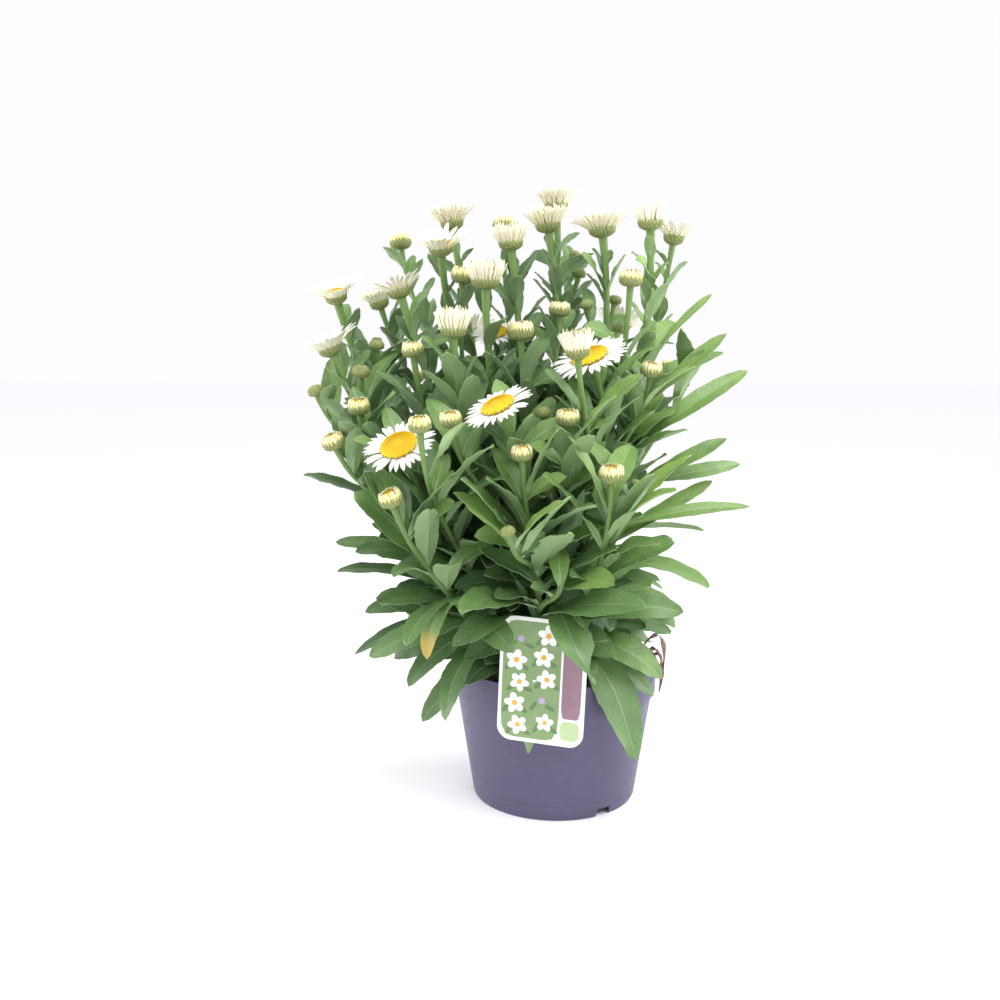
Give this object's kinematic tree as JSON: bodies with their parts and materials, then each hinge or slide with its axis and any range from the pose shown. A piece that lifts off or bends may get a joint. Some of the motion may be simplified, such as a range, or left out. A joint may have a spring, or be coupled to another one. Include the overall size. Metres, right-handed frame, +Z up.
{
  "type": "potted shasta daisy",
  "caption": "Shasta daisy in bud and bloom: leafy stems with white rays and yellow discs, in soil in a tapered round nursery pot with a care label on its rim.",
  "frame": {"origin": "on the pot's axis, on the flat seat in the middle of its underside, which stands on the ground", "axes": "+Z up along the pot's axis, -Y towards the care label at the front, +X to the right as seen from the front"},
  "size_m": [0.3546, 0.3258, 0.5033],
  "materials": {
    "pot_plastic": "satin",
    "peat": "matte",
    "label_card": "satin",
    "foliage": "satin",
    "cream_rays": "matte",
    "white_rays": "matte",
    "yellow_disc": "matte"
  },
  "bodies": {
    "root": {"pot": "pot_plastic", "soil": "peat", "care_label": "label_card", "leafy_shoot_01": "foliage", "leafy_shoot_02": "foliage", "leafy_shoot_03": "foliage", "leafy_shoot_04": "foliage", "leafy_shoot_05": "foliage", "leafy_shoot_06": "foliage", "leafy_shoot_07": "foliage", "leafy_shoot_08": "foliage", "leafy_shoot_09": "foliage", "leafy_shoot_10": "foliage", "leafy_shoot_11": "foliage", "leafy_shoot_12": "foliage", "leafy_shoot_13": "foliage", "leafy_shoot_14": "foliage", "leafy_shoot_15": "foliage", "leafy_shoot_16": "foliage", "leafy_shoot_17": "foliage", "leafy_shoot_18": "foliage", "leafy_shoot_19": "foliage", "leafy_shoot_20": "foliage", "leafy_shoot_21": "foliage", "leafy_shoot_22": "foliage", "leafy_shoot_23": "foliage", "leafy_shoot_24": "foliage", "leafy_shoot_25": "foliage", "half_bloom_01_rays": "cream_rays", "half_bloom_02_rays": "cream_rays", "half_bloom_03_rays": "cream_rays", "half_bloom_04_rays": "cream_rays", "half_bloom_05_rays": "cream_rays", "half_bloom_06_rays": "cream_rays", "half_bloom_07_rays": "cream_rays", "half_bloom_08_rays": "cream_rays", "half_bloom_09_rays": "cream_rays", "half_bloom_10_rays": "cream_rays", "open_bloom_01_rays": "white_rays", "open_bloom_01_disc": "yellow_disc", "open_bloom_02_rays": "white_rays", "open_bloom_02_disc": "yellow_disc", "open_bloom_03_rays": "white_rays", "open_bloom_03_disc": "yellow_disc", "open_bloom_04_rays": "white_rays", "open_bloom_04_disc": "yellow_disc", "open_bloom_05_rays": "white_rays", "open_bloom_05_disc": "yellow_disc", "open_bloom_06_rays": "white_rays", "open_bloom_06_disc": "yellow_disc", "open_bloom_07_rays": "white_rays", "open_bloom_07_disc": "yellow_disc", "open_bloom_08_rays": "white_rays", "open_bloom_08_disc": "yellow_disc", "open_bloom_09_rays": "white_rays", "open_bloom_09_disc": "yellow_disc", "open_bloom_10_rays": "white_rays", "open_bloom_10_disc": "yellow_disc", "open_bloom_11_rays": "white_rays", "open_bloom_11_disc": "yellow_disc"}
  },
  "joints": []
}
